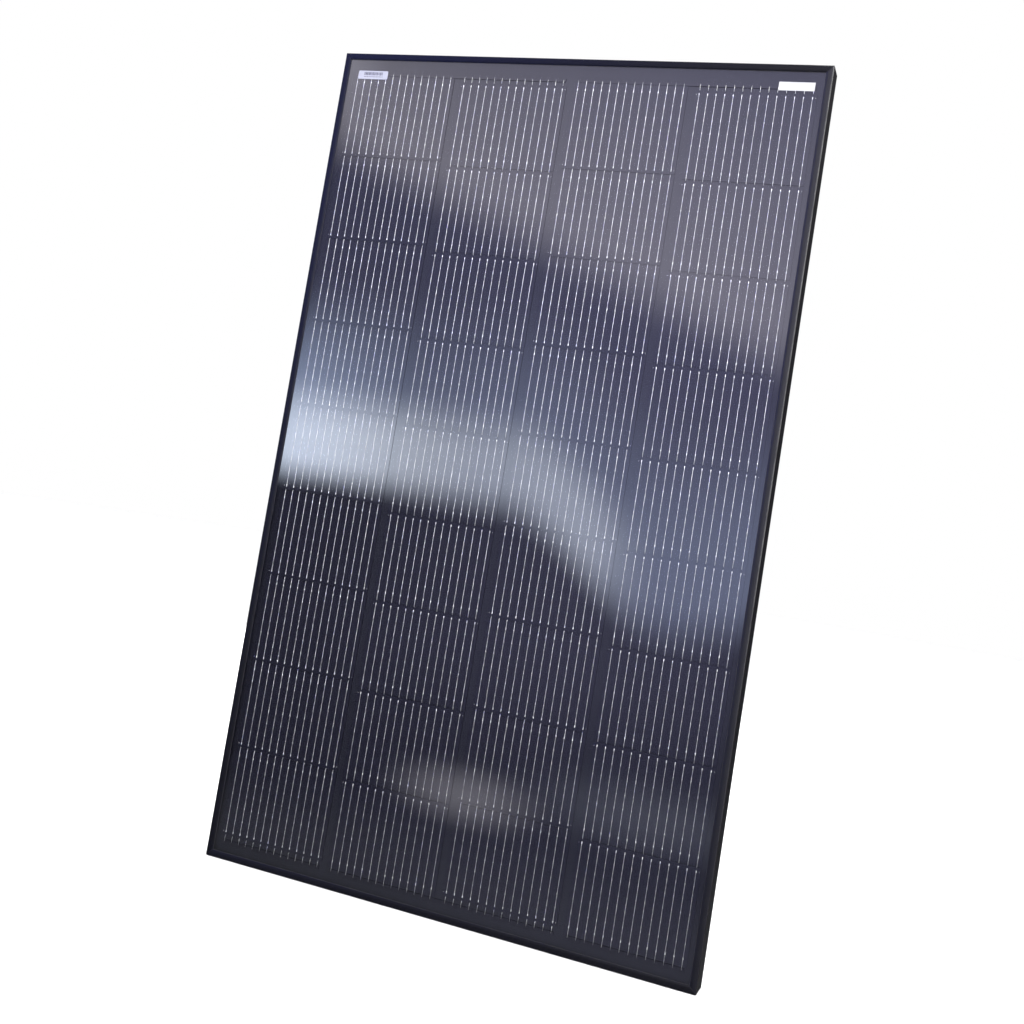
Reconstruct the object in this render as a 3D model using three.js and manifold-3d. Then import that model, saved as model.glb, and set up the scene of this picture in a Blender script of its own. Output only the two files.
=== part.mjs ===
// A framed solar panel of 36 cells in four series strings, standing upright on one short edge.
// X runs across the panel, Y from the glass (-Y) to the rear (+Y) and Z up the long edges.
// The origin is at the middle of the bottom edge. Sizes are in millimetres.
import * as THREE from "three";
import { mergeVertices } from "three/addons/utils/BufferGeometryUtils.js";
import Module from "manifold-3d";

// Overall size
const WIDTH = 705;
const HEIGHT = 1172;
const DEPTH = 35;
const FRONT = -DEPTH / 2;

// Cells: four strings side by side, nine cells to a string
const COLUMNS = 4;
const ROWS = 9;
const CELL_WIDTH = 160;
const CELL_HEIGHT = 121.4;
const CELL_THICKNESS = 0.2;
const COLUMN_PITCH = 170.4;
const ROW_PITCH = 123.4;
const CELL_CORNER = 0.8;
// Strings 1 and 3 run up to the upper bus strips, and strings 2 and 4 down to the lower ones.
const STRING_RISE = [0.3, -5, 0.3, -5];

// Frame profile: widths are measured in from the outer face and depths back from the front
const LIP_WIDTH = 9;
const LIP_THICKNESS = 1.6;
const LIP_SLOPE = { width: 2.4, depth: 0.8 };
const EDGE_RADIUS = 0.8;
const EDGE_STEPS = 4;
const SHELF_WIDTH = 11;
const WALL = 1.5;
const CHANNEL_END = 7;
const CHAMBER_WALL = 1.6;
const CHAMBER_START = 8.4;
const CHAMBER_END = 20;
const FLANGE_WIDTH = 28;
const FLANGE_THICKNESS = 1.6;
const FLANGE_CURL = 2;
const SEAM_GAP = 0.1;

// Holes in the rear flange
const HOLE_LINE = 15;
const MOUNT_SLOT = { width: 9, length: 14 };
const MOUNT_SLOT_OFFSETS = [-352, -200, 200, 352];
const GROUND_HOLE = { width: 4.2, length: 4.2 };
const GROUND_HOLE_OFFSETS = [-276, 276];
const DRAIN_SLOT = { width: 5.5, length: 16 };
const DRAIN_SLOT_OFFSETS = [-290, 290];

// Corner keys
const KEY_CLEARANCE = 0.2;
const KEY_LEG = 42;
const KEY_NOTCH_AT = 26;
const KEY_NOTCH_WIDTH = 4;
const KEY_NOTCH_DEPTH = 1.2;

// Laminate, from the front: glass, encapsulant, cells, encapsulant, backsheet
const LAMINATE_INSET = 4;
const SEAL_FRONT = 0.45;
const SEAL_BEAD = 0.7;
const LAYER_GAP = 0.02;
const GLASS_THICKNESS = 3.2;
const GLASS_CORNER = 2;
const ENCAPSULANT_THICKNESS = 0.45;
const BACKSHEET_THICKNESS = 0.3;
const POCKET_CLEARANCE = 0.1;
const SEAL_CLEARANCE = 0.1;

// Junction box, behind the lower ends of the middle strings
const BOX_Z = 118;
const BOX_WIDTH = 118;
const BOX_HEIGHT = 92;
const BOX_DEPTH = 16;
const BOX_WALL = 2;
const BOX_RADIUS = 7;
const GLUE_THICKNESS = 1;
const GLUE_INSET = 5;
const GLUE_RADIUS = 2;
const GLUE_GAP = 0.05;
const LEAD_WINDOW = { width: 76, height: 10, z: -22 };
const LEAD_SLIT = { width: 68, height: 6 };
const LEAD_SLIT_DEPTH = 0.25;
const POST = { width: 8, height: 10, rise: 5, z: [-8, 20] };
const RIB = { thickness: 1.6, rise: 4.5, length: 18, x: [-17, 17], z: 35 };

// Lid, its gasket groove, and the two tabs that grip the bottom wall of the box
const LID_GAP = 0.3;
const LID_THICKNESS = 2.4;
const LID_OVERHANG = 1.5;
const LID_SKIRT = { inset: 2.6, thickness: 1.4, depth: 2.6 };
const LID_PAD = { width: 84, height: 50, rise: 0.8, radius: 3 };
const GASKET = { inset: 0.3, width: 1.5, start: 0.05, end: 1.55 };
const GROOVE_CLEARANCE = 0.15;
const TAB = { width: 14, thickness: 1.8, drop: 9, gap: 0.4, x: [-34, 34] };

// Lid hinge on the top edge of the box: two knuckles with pins, each between two ears
const HINGE_RISE = 5.4;
const PIN_RADIUS = 1.5;
const PIN_HOLE_RADIUS = 1.85;
const KNUCKLE = { radius: 2.7, length: 16, x: [-34, 34] };
const EAR = { radius: 3, thickness: 3, gap: 0.4, root: 6.5 };

// Cable glands on the two short sides of the box
const GLAND_Y = 8.2;
const GLAND_BORE = 3.6;
const SPIGOT = { radius: 5.4, length: 12 };
const COLLAR = { radius: 7.6, thickness: 1.6 };
const NUT = { corner: 7.9, start: 2, hexLength: 8, domeLength: 5, domeRadius: 5.2, mouth: 4.2, cap: 2 };
const NUT_CLEARANCE = 0.3;

// Terminals and bypass diodes inside the box
const TERMINAL = { x: [-34, 0, 34], width: 10, length: 38, thickness: 1, z: 6, gap: 0.2 };
const TERMINAL_CLIP = 3.5;
const SCREW_HEAD = { radius: 2.6, rise: 1.6, z: 20 };
const DIODE = { radius: 2.7, length: 9.2, leadRadius: 0.6, leadEnd: 16, gap: 0.2, z: 6 };

// Steps round a full circle, round a diode lead, and round a quarter turn of the box outline
const ROUND = 24;
const LEAD_ROUND = 12;
const HEXAGON = 6;
const BOX_ARC = 5;

// How far a joined piece reaches into its neighbour, and a cutter past the face that it cuts
const OVERLAP = 1;

const wasm = await Module();
wasm.setup();

// Materials
function paint(color, roughness, metalness = 0) {
  return new THREE.MeshStandardMaterial({ color, roughness, metalness });
}
const anodised = paint(0x17181b, 0.38, 0.85);
const castKey = paint(0xa9abae, 0.5, 0.9);
const sealant = paint(0x0c0c0d, 0.6);
const clearGlass = paint(0xc9d4da, 0.08);
clearGlass.transparent = true;
clearGlass.opacity = 0.25;
const clearFilm = paint(0xd7dcdf, 0.4);
clearFilm.transparent = true;
clearFilm.opacity = 0.3;
const silicon = paint(0x0d0f1a, 0.35);
const blackSheet = paint(0x0b0b0c, 0.7);
const boxPlastic = paint(0x131314, 0.55);
const rubber = paint(0x1c1c1c, 0.8);
const tinnedCopper = paint(0xb9b4aa, 0.35, 0.95);
const diodeBody = paint(0x202022, 0.5);

// Booleans: a geometry becomes a manifold solid, and a solid becomes a geometry again.
function solid(geometry) {
  const bare = geometry.clone();
  bare.deleteAttribute("normal");
  bare.deleteAttribute("uv");
  const merged = mergeVertices(bare, 1e-4);
  return new wasm.Manifold(
    new wasm.Mesh({
      numProp: 3,
      vertProperties: merged.attributes.position.array,
      triVerts: new Uint32Array(merged.index.array),
    }),
  );
}

function geometryOf(body) {
  const mesh = body.getMesh();
  const geometry = new THREE.BufferGeometry();
  geometry.setAttribute("position", new THREE.BufferAttribute(mesh.vertProperties, 3));
  geometry.setIndex(new THREE.BufferAttribute(mesh.triVerts, 1));
  geometry.computeVertexNormals();
  return geometry;
}

// Joins the first list of geometries and cuts the second list out of them.
function build(joined, cut = []) {
  let body = solid(joined[0]);
  for (const geometry of joined.slice(1)) {
    body = body.add(solid(geometry));
  }
  for (const geometry of cut) {
    body = body.subtract(solid(geometry));
  }
  return geometryOf(body);
}

// Basic shapes
function polygon(points) {
  const path = points.map(([x, y]) => new THREE.Vector2(x, y));
  return new THREE.Shape(THREE.ShapeUtils.isClockWise(path) ? path.reverse() : path);
}

function roundedRectangle(width, height, radius) {
  const shape = new THREE.Shape();
  const x = width / 2 - radius;
  const y = height / 2 - radius;
  shape.absarc(x, y, radius, 0, Math.PI / 2);
  shape.absarc(-x, y, radius, Math.PI / 2, Math.PI);
  shape.absarc(-x, -y, radius, Math.PI, 1.5 * Math.PI);
  shape.absarc(x, -y, radius, 1.5 * Math.PI, 2 * Math.PI);
  return shape;
}

// Extrudes a shape drawn in the XZ plane from y = start to y = end.
function plate(shape, start, end, curveSegments = 4) {
  const settings = { depth: end - start, bevelEnabled: false, curveSegments };
  const geometry = new THREE.ExtrudeGeometry(shape, settings);
  geometry.rotateX(Math.PI / 2);
  geometry.translate(0, end, 0);
  return geometry;
}

function block(x, y, z, width, depth, height) {
  return new THREE.BoxGeometry(width, depth, height).translate(x, y, z);
}

// A cylinder along X (its middle at x, y, z).
function rod(x, y, z, radius, length, segments = ROUND) {
  const geometry = new THREE.CylinderGeometry(radius, radius, length, segments);
  return geometry.rotateZ(Math.PI / 2).translate(x, y, z);
}

function node(name, geometry, material) {
  const mesh = new THREE.Mesh(geometry, material);
  mesh.name = name;
  return mesh;
}

// Frame rails. The profile's points are [depth from the front, width from the outer face].
// The rounded outer edge of the front, from the outer face to the front
function frontEdge() {
  const points = [];
  for (let step = 0; step <= EDGE_STEPS; step++) {
    const turn = ((Math.PI / 2) * step) / EDGE_STEPS;
    points.push([EDGE_RADIUS * (1 - Math.sin(turn)), EDGE_RADIUS * (1 - Math.cos(turn))]);
  }
  return points;
}

function railProfile() {
  const flangeInside = DEPTH - FLANGE_THICKNESS;
  const curlStart = flangeInside - FLANGE_CURL;
  const outline = polygon([
    ...frontEdge(),
    [0, LIP_WIDTH - LIP_SLOPE.width],
    [LIP_SLOPE.depth, LIP_WIDTH],
    [LIP_THICKNESS, LIP_WIDTH],
    [LIP_THICKNESS, WALL],
    [CHANNEL_END, WALL],
    [CHANNEL_END, SHELF_WIDTH],
    [CHAMBER_END + WALL, SHELF_WIDTH],
    [CHAMBER_END + WALL, WALL],
    [flangeInside, WALL],
    [flangeInside, FLANGE_WIDTH - WALL],
    [curlStart, FLANGE_WIDTH - WALL],
    [curlStart, FLANGE_WIDTH],
    [DEPTH, FLANGE_WIDTH],
    [DEPTH, 0],
  ]);
  const chamber = polygon([
    [CHAMBER_START, CHAMBER_WALL],
    [CHAMBER_START, SHELF_WIDTH - CHAMBER_WALL],
    [CHAMBER_END, SHELF_WIDTH - CHAMBER_WALL],
    [CHAMBER_END, CHAMBER_WALL],
  ]);
  outline.holes.push(chamber);
  return outline;
}

// The cutters of a hole through the rear flange: a round one, or a slot with its length along the rail
function flangeHole(x, { width, length }) {
  const half = (length - width) / 2;
  const reach = 2 * (FLANGE_THICKNESS + OVERLAP);
  const end = (offset) => {
    const drill = new THREE.CylinderGeometry(width / 2, width / 2, reach, ROUND);
    return drill.translate(x + offset, DEPTH / 2, HOLE_LINE);
  };
  if (half === 0) {
    return [end(0)];
  }
  return [end(-half), end(half), block(x, DEPTH / 2, HOLE_LINE, 2 * half, reach, width)];
}

// A rail lies along +X from the corner, with its outer face at z = 0 and its inside towards +Z.
// Each end is mitred: a point at the distance u from the outer face is moved in by u.
function railGeometry(length, cutters) {
  const rail = new THREE.ExtrudeGeometry(railProfile(), { depth: length, bevelEnabled: false });
  const position = rail.attributes.position;
  for (let i = 0; i < position.count; i++) {
    const v = position.getX(i);
    const u = position.getY(i);
    const atStart = position.getZ(i) < length / 2;
    const along = atStart ? u + SEAM_GAP : length - u - SEAM_GAP;
    position.setXYZ(i, along, FRONT + v, u);
  }
  return build([rail], cutters);
}

function longRail(name) {
  const middle = HEIGHT / 2;
  const cutters = [
    ...MOUNT_SLOT_OFFSETS.flatMap((offset) => flangeHole(middle + offset, MOUNT_SLOT)),
    ...GROUND_HOLE_OFFSETS.flatMap((offset) => flangeHole(middle + offset, GROUND_HOLE)),
  ];
  return node(name, railGeometry(HEIGHT, cutters), anodised);
}

function shortRail(name) {
  const cutters = DRAIN_SLOT_OFFSETS.flatMap((offset) => flangeHole(WIDTH / 2 + offset, DRAIN_SLOT));
  return node(name, railGeometry(WIDTH, cutters), anodised);
}

// An angle piece pressed into the chambers of two rails where they meet.
function cornerKey(name) {
  const near = CHAMBER_WALL + KEY_CLEARANCE;
  const far = SHELF_WIDTH - CHAMBER_WALL - KEY_CLEARANCE;
  const tip = near + KEY_LEG;
  const dip = far - KEY_NOTCH_DEPTH;
  const notchEnd = KEY_NOTCH_AT + KEY_NOTCH_WIDTH;
  const outline = polygon([
    [near, near],
    [tip, near],
    [tip, far],
    [notchEnd, far],
    [notchEnd, dip],
    [KEY_NOTCH_AT, dip],
    [KEY_NOTCH_AT, far],
    [far, far],
    [far, KEY_NOTCH_AT],
    [dip, KEY_NOTCH_AT],
    [dip, notchEnd],
    [far, notchEnd],
    [far, tip],
    [near, tip],
  ]);
  const start = FRONT + CHAMBER_START + KEY_CLEARANCE;
  const end = FRONT + CHAMBER_END - KEY_CLEARANCE;
  return node(name, plate(outline, start, end), castKey);
}

// Turns a corner or rail made at the lower left corner to its place round the frame.
function placeRound(mesh, quarter) {
  const corners = [
    [-WIDTH / 2, 0],
    [WIDTH / 2, 0],
    [WIDTH / 2, HEIGHT],
    [-WIDTH / 2, HEIGHT],
  ];
  const [x, z] = corners[quarter];
  mesh.rotation.y = (-quarter * Math.PI) / 2;
  mesh.position.set(x, 0, z);
  return mesh;
}

function frame() {
  const group = new THREE.Group();
  const rails = [
    shortRail("frame_rail_bottom"),
    longRail("frame_rail_right"),
    shortRail("frame_rail_top"),
    longRail("frame_rail_left"),
  ];
  const corners = ["bottom_left", "bottom_right", "top_right", "top_left"];
  rails.forEach((rail, quarter) => group.add(placeRound(rail, quarter)));
  corners.forEach((corner, quarter) => group.add(placeRound(cornerKey("corner_key_" + corner), quarter)));
  return group;
}

// Laminate layers, each given by the depth of its front face behind the front of the frame
const GLASS_FRONT = LIP_THICKNESS + SEAL_FRONT;
const FRONT_FILM = GLASS_FRONT + GLASS_THICKNESS + LAYER_GAP;
const CELL_FRONT = FRONT_FILM + ENCAPSULANT_THICKNESS + LAYER_GAP;
const REAR_FILM = CELL_FRONT;
const REAR_FILM_THICKNESS = CELL_THICKNESS + ENCAPSULANT_THICKNESS;
const BACKSHEET = REAR_FILM + REAR_FILM_THICKNESS + LAYER_GAP;
const LAMINATE_END = BACKSHEET + BACKSHEET_THICKNESS;
const LAMINATE_WIDTH = WIDTH - 2 * LAMINATE_INSET;
const LAMINATE_HEIGHT = HEIGHT - 2 * LAMINATE_INSET;

function cellOutline(grow = 0) {
  const x = CELL_WIDTH / 2 + grow;
  const z = CELL_HEIGHT / 2 + grow;
  const c = CELL_CORNER;
  return polygon([
    [-x + c, -z],
    [x - c, -z],
    [x, -z + c],
    [x, z - c],
    [x - c, z],
    [-x + c, z],
    [-x, z - c],
    [-x, -z + c],
  ]);
}

// The middle of each cell, with row 1 at the top and column 1 on the left, seen from the front
function cellPlaces() {
  const places = [];
  for (let row = 1; row <= ROWS; row++) {
    for (let column = 1; column <= COLUMNS; column++) {
      places.push({
        name: "cell_r" + row + "_c" + column,
        x: (column - (COLUMNS + 1) / 2) * COLUMN_PITCH,
        z: HEIGHT / 2 + ((ROWS + 1) / 2 - row) * ROW_PITCH + STRING_RISE[column - 1],
      });
    }
  }
  return places;
}

function sheet(start, thickness) {
  const outline = roundedRectangle(LAMINATE_WIDTH, LAMINATE_HEIGHT, GLASS_CORNER);
  return plate(outline, FRONT + start, FRONT + start + thickness).translate(0, 0, HEIGHT / 2);
}

// The slit for the leads, through the backsheet and the skin of the rear film behind the cells
function leadSlit() {
  const start = FRONT + BACKSHEET - LEAD_SLIT_DEPTH;
  const end = FRONT + LAMINATE_END + OVERLAP;
  const z = BOX_Z + LEAD_WINDOW.z;
  return block(0, (start + end) / 2, z, LEAD_SLIT.width, end - start, LEAD_SLIT.height);
}

// The rear film is moulded round the cells.
function rearFilm(cells) {
  const start = FRONT + REAR_FILM - OVERLAP;
  const end = FRONT + REAR_FILM + CELL_THICKNESS + LAYER_GAP;
  const pocket = plate(cellOutline(POCKET_CLEARANCE), start, end);
  const pockets = cells.map(({ x, z }) => pocket.clone().translate(x, 0, z));
  return build([sheet(REAR_FILM, REAR_FILM_THICKNESS)], [...pockets, leadSlit()]);
}

function laminate() {
  const group = new THREE.Group();
  const cells = cellPlaces();
  group.add(node("glass", sheet(GLASS_FRONT, GLASS_THICKNESS), clearGlass));
  group.add(node("front_encapsulant", sheet(FRONT_FILM, ENCAPSULANT_THICKNESS), clearFilm));
  for (const { name, x, z } of cells) {
    const cell = node(name, plate(cellOutline(), 0, CELL_THICKNESS), silicon);
    cell.position.set(x, FRONT + CELL_FRONT, z);
    group.add(cell);
  }
  group.add(node("rear_encapsulant", rearFilm(cells), clearFilm));
  group.add(node("backsheet", build([sheet(BACKSHEET, BACKSHEET_THICKNESS)], [leadSlit()]), blackSheet));
  return group;
}

// A ring of sealant that fills the channel of the frame round the edge of the laminate
function edgeSeal() {
  const start = FRONT + LIP_THICKNESS + SEAL_CLEARANCE;
  const end = FRONT + CHANNEL_END - SEAL_CLEARANCE;
  const outer = WALL + SEAL_CLEARANCE;
  const inner = LIP_WIDTH + SEAL_BEAD;
  const middle = (start + end) / 2;
  const ring = block(0, middle, HEIGHT / 2, WIDTH - 2 * outer, end - start, HEIGHT - 2 * outer);
  const window = block(0, middle, HEIGHT / 2, WIDTH - 2 * inner, DEPTH, HEIGHT - 2 * inner);
  const slotStart = FRONT + GLASS_FRONT - SEAL_CLEARANCE;
  const slotEnd = FRONT + LAMINATE_END + SEAL_CLEARANCE;
  const slot = block(
    0,
    (slotStart + slotEnd) / 2,
    HEIGHT / 2,
    LAMINATE_WIDTH + 2 * SEAL_CLEARANCE,
    slotEnd - slotStart,
    LAMINATE_HEIGHT + 2 * SEAL_CLEARANCE,
  );
  return node("edge_seal", build([ring], [window, slot]), sealant);
}

// Junction box. Its own frame has y = 0 on the glued face and z = 0 at its middle.
const LID_START = BOX_DEPTH + LID_GAP;
const LID_END = LID_START + LID_THICKNESS;
const HINGE_Y = (LID_START + LID_END) / 2;
const HINGE_Z = BOX_HEIGHT / 2 + HINGE_RISE;

function boxOutline(inset) {
  return roundedRectangle(BOX_WIDTH - 2 * inset, BOX_HEIGHT - 2 * inset, BOX_RADIUS - inset);
}

// A closed ring that follows the wall of the box, from y = start to y = end
function boxRing(inset, width, start, end) {
  const outline = boxOutline(inset);
  outline.holes.push(boxOutline(inset + width));
  return plate(outline, start, end, BOX_ARC);
}

// A hinge ear: an eye round the pin, and a root on the top wall of the box below the lid
function hingeEar(x) {
  const back = HINGE_Y - EAR.root;
  const front = BOX_DEPTH - LID_GAP;
  const foot = BOX_HEIGHT / 2 - BOX_WALL / 2;
  const rise = HINGE_Z - foot;
  const root = block(x, (back + front) / 2, foot + rise / 2, EAR.thickness, front - back, rise);
  return [root, rod(x, HINGE_Y, HINGE_Z, EAR.radius, EAR.thickness)];
}

function earPlaces() {
  const offset = KNUCKLE.length / 2 + EAR.gap + EAR.thickness / 2;
  return KNUCKLE.x.flatMap((x) => [x - offset, x + offset]);
}

// A block that stands on the floor of the box
function floorBlock(x, z, width, rise, height) {
  return block(x, BOX_WALL + (rise - OVERLAP) / 2, z, width, rise + OVERLAP, height);
}

// A rod that stands on a side wall of the box, along X
function wallRod(side, radius, length, segments = ROUND) {
  const x = side * (BOX_WIDTH / 2 + (length - OVERLAP) / 2);
  return rod(x, GLAND_Y, 0, radius, length + OVERLAP, segments);
}

function junctionBoxBase() {
  const outside = plate(boxOutline(0), 0, BOX_DEPTH, BOX_ARC);
  const inside = plate(boxOutline(BOX_WALL), BOX_WALL, 2 * BOX_DEPTH, BOX_ARC);
  const joined = [build([outside], [inside]), ...earPlaces().flatMap(hingeEar)];
  for (const x of TERMINAL.x) {
    joined.push(...POST.z.map((z) => floorBlock(x, z, POST.width, POST.rise, POST.height)));
  }
  joined.push(...RIB.x.map((x) => floorBlock(x, RIB.z, RIB.thickness, RIB.rise, RIB.length)));
  const cut = [block(0, 0, LEAD_WINDOW.z, LEAD_WINDOW.width, 3 * BOX_WALL, LEAD_WINDOW.height)];
  for (const side of [-1, 1]) {
    joined.push(wallRod(side, SPIGOT.radius, SPIGOT.length));
    joined.push(wallRod(side, COLLAR.radius, COLLAR.thickness, HEXAGON));
    cut.push(rod((side * (BOX_WIDTH + SPIGOT.length)) / 2, GLAND_Y, 0, GLAND_BORE, 2 * SPIGOT.length));
  }
  for (const x of KNUCKLE.x) {
    cut.push(rod(x, HINGE_Y, HINGE_Z, PIN_HOLE_RADIUS, 2 * KNUCKLE.length));
  }
  return node("junction_box_base", build(joined, cut), boxPlastic);
}

function junctionBoxLid() {
  const inLid = LID_END - LID_THICKNESS / 2;
  const pad = roundedRectangle(LID_PAD.width, LID_PAD.height, LID_PAD.radius);
  const joined = [
    plate(boxOutline(-LID_OVERHANG), LID_START, LID_END, BOX_ARC),
    boxRing(LID_SKIRT.inset, LID_SKIRT.thickness, LID_START - LID_SKIRT.depth, inLid),
    plate(pad, inLid, LID_END + LID_PAD.rise),
  ];
  const armFoot = BOX_HEIGHT / 2;
  for (const x of KNUCKLE.x) {
    joined.push(block(x, HINGE_Y, (armFoot + HINGE_Z) / 2, KNUCKLE.length, LID_THICKNESS, HINGE_Z - armFoot));
    joined.push(rod(x, HINGE_Y, HINGE_Z, KNUCKLE.radius, KNUCKLE.length));
    joined.push(rod(x, HINGE_Y, HINGE_Z, PIN_RADIUS, KNUCKLE.length + 2 * (EAR.gap + EAR.thickness)));
  }
  const tabDepth = TAB.drop + LID_THICKNESS;
  const tabZ = -BOX_HEIGHT / 2 - TAB.gap - TAB.thickness / 2;
  for (const x of TAB.x) {
    joined.push(block(x, LID_END - tabDepth / 2, tabZ, TAB.width, tabDepth, TAB.thickness));
  }
  const groove = boxRing(
    GASKET.inset - GROOVE_CLEARANCE,
    GASKET.width + 2 * GROOVE_CLEARANCE,
    LID_START - OVERLAP,
    BOX_DEPTH + GASKET.end + GROOVE_CLEARANCE,
  );
  return node("junction_box_lid", build(joined, [groove]), boxPlastic);
}

function lidGasket() {
  const ring = boxRing(GASKET.inset, GASKET.width, BOX_DEPTH + GASKET.start, BOX_DEPTH + GASKET.end);
  return node("lid_gasket", ring, rubber);
}

// A six-sided nut with a domed end, open along X for the cable. It starts at x = 0 and ends at +X.
function glandNut(name, side) {
  const cone = (startRadius, endRadius, start, end, segments = ROUND) => {
    const geometry = new THREE.CylinderGeometry(endRadius, startRadius, end - start, segments);
    return geometry.rotateZ(-Math.PI / 2).translate((start + end) / 2, 0, 0);
  };
  const end = NUT.hexLength + NUT.domeLength;
  const inside = SPIGOT.radius + NUT_CLEARANCE;
  const flat = NUT.corner * Math.cos(Math.PI / HEXAGON);
  const hexagon = cone(NUT.corner, NUT.corner, 0, NUT.hexLength, HEXAGON);
  const dome = cone(flat, NUT.domeRadius, NUT.hexLength - OVERLAP, end);
  const hollow = cone(inside, inside, -OVERLAP, end - NUT.cap);
  const mouth = cone(NUT.mouth, NUT.mouth, -OVERLAP, end + OVERLAP);
  const geometry = build([hexagon, dome], [hollow, mouth]);
  const nut = node(name, geometry, boxPlastic);
  nut.rotation.y = side > 0 ? 0 : Math.PI;
  nut.position.set(side * (BOX_WIDTH / 2 + NUT.start), GLAND_Y, 0);
  return nut;
}

// A tinned bar across two posts, with a folded clip at its lower end and a clamp screw at its upper end
const TERMINAL_START = BOX_WALL + POST.rise + TERMINAL.gap;
const TERMINAL_END = TERMINAL_START + TERMINAL.thickness;

function terminal(name, x) {
  const { width, length, thickness, z } = TERMINAL;
  const middle = (TERMINAL_START + TERMINAL_END) / 2;
  const clipZ = z - length / 2 + thickness / 2;
  const headEnd = TERMINAL_END + SCREW_HEAD.rise;
  const bar = block(x, middle, z, width, thickness, length);
  const clip = block(x, TERMINAL_START + TERMINAL_CLIP / 2, clipZ, width, TERMINAL_CLIP, thickness);
  const head = new THREE.CylinderGeometry(SCREW_HEAD.radius, SCREW_HEAD.radius, headEnd - middle, ROUND);
  head.translate(x, (middle + headEnd) / 2, SCREW_HEAD.z);
  return node(name, build([bar, clip, head]), tinnedCopper);
}

// A diode lies along X with its leads on two terminals
function bypassDiode(name, x) {
  const y = TERMINAL_END + DIODE.gap + DIODE.leadRadius;
  const body = rod(x, y, DIODE.z, DIODE.radius, DIODE.length);
  const leads = rod(x, y, DIODE.z, DIODE.leadRadius, 2 * DIODE.leadEnd, LEAD_ROUND);
  return node(name, build([body, leads]), diodeBody);
}

function adhesive() {
  const outline = roundedRectangle(BOX_WIDTH - 2 * GLUE_INSET, BOX_HEIGHT - 2 * GLUE_INSET, GLUE_RADIUS);
  const window = block(0, 0, LEAD_WINDOW.z, LEAD_WINDOW.width, 4 * GLUE_THICKNESS, LEAD_WINDOW.height);
  const pad = plate(outline, -GLUE_GAP - GLUE_THICKNESS, -GLUE_GAP);
  return node("box_adhesive", build([pad], [window]), sealant);
}

function junctionBox() {
  const group = new THREE.Group();
  group.add(junctionBoxBase(), junctionBoxLid(), lidGasket(), adhesive());
  group.add(glandNut("gland_nut_left", -1), glandNut("gland_nut_right", 1));
  const terminalNames = ["terminal_negative", "terminal_middle", "terminal_positive"];
  terminalNames.forEach((name, i) => group.add(terminal(name, TERMINAL.x[i])));
  group.add(bypassDiode("bypass_diode_left", (TERMINAL.x[0] + TERMINAL.x[1]) / 2));
  group.add(bypassDiode("bypass_diode_right", (TERMINAL.x[1] + TERMINAL.x[2]) / 2));
  group.position.set(0, FRONT + LAMINATE_END + GLUE_THICKNESS + 2 * GLUE_GAP, BOX_Z);
  return group;
}

const panel = new THREE.Group();
panel.name = "solar_panel";
panel.add(frame(), edgeSeal(), laminate(), junctionBox());

export default panel;
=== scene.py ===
import math

import bpy
import numpy as np
from mathutils import Matrix, Vector


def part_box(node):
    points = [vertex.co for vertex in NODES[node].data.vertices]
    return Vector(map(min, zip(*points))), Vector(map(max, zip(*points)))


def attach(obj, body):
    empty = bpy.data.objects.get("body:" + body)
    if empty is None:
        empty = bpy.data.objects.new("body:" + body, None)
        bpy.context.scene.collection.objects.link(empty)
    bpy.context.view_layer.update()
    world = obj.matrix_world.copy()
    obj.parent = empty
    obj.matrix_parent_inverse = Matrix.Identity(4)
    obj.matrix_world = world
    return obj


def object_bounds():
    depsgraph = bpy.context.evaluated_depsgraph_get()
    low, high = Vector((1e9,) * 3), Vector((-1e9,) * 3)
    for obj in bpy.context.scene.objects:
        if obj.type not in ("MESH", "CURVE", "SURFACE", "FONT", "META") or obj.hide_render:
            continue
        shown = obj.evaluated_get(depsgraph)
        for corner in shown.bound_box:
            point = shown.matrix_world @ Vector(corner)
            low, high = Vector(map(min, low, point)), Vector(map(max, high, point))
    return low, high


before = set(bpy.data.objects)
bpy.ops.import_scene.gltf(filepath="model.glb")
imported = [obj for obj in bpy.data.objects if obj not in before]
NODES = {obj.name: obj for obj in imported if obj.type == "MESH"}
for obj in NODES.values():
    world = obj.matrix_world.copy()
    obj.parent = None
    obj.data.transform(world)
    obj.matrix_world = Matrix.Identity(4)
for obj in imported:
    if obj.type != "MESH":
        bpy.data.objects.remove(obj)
CAD_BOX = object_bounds()

# Solar panel: finishes for the CAD parts, the cell ribbons, bus strips and labels that are too
# fine for CAD, and a studio. Metres, in the frame of the CAD: X across, Y to the rear, Z up.
MM = 0.001
PANEL = "panel"
COLUMNS = range(1, 5)
ROWS = range(1, 10)
RISING = {1: 1, 2: -1, 3: 1, 4: -1}  # the way each string's ribbons run along a cell: up or down
SHARP_ANGLE = 30.0  # degrees between two faces, from which the edge between them is rounded

# Frame finish. The outer front edge carries a painted highlight, faint all round and strongest on the
# upper right.
ARRIS = (-1.9 * MM, -0.5 * MM)  # where the painted highlight starts and is full, measured from the edge
HIGHLIGHT_SIDE = 0.9  # share of the half width from which the right side counts
HIGHLIGHT_HEIGHT = (0.36, 0.52)  # heights between which the right side's painted highlight starts
HIGHLIGHT_LEVEL = (0.06, 0.7)  # painted highlight level all round, and on the upper right
SATIN_SEALING = 1.2  # index of refraction of the sealed skin
# a shinier copy for the right rail alone, which stands in for the light falling on that side
LIT_SIDE_SEALING = 1.34
BLUE_REFLECTION_START = 0.2  # height from which the front lip's painted blue reflection grows
BLUE_REFLECTION_DEPTH = (4 * MM, 1 * MM)  # depths behind the front face where the painted reflection ends and is full
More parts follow.
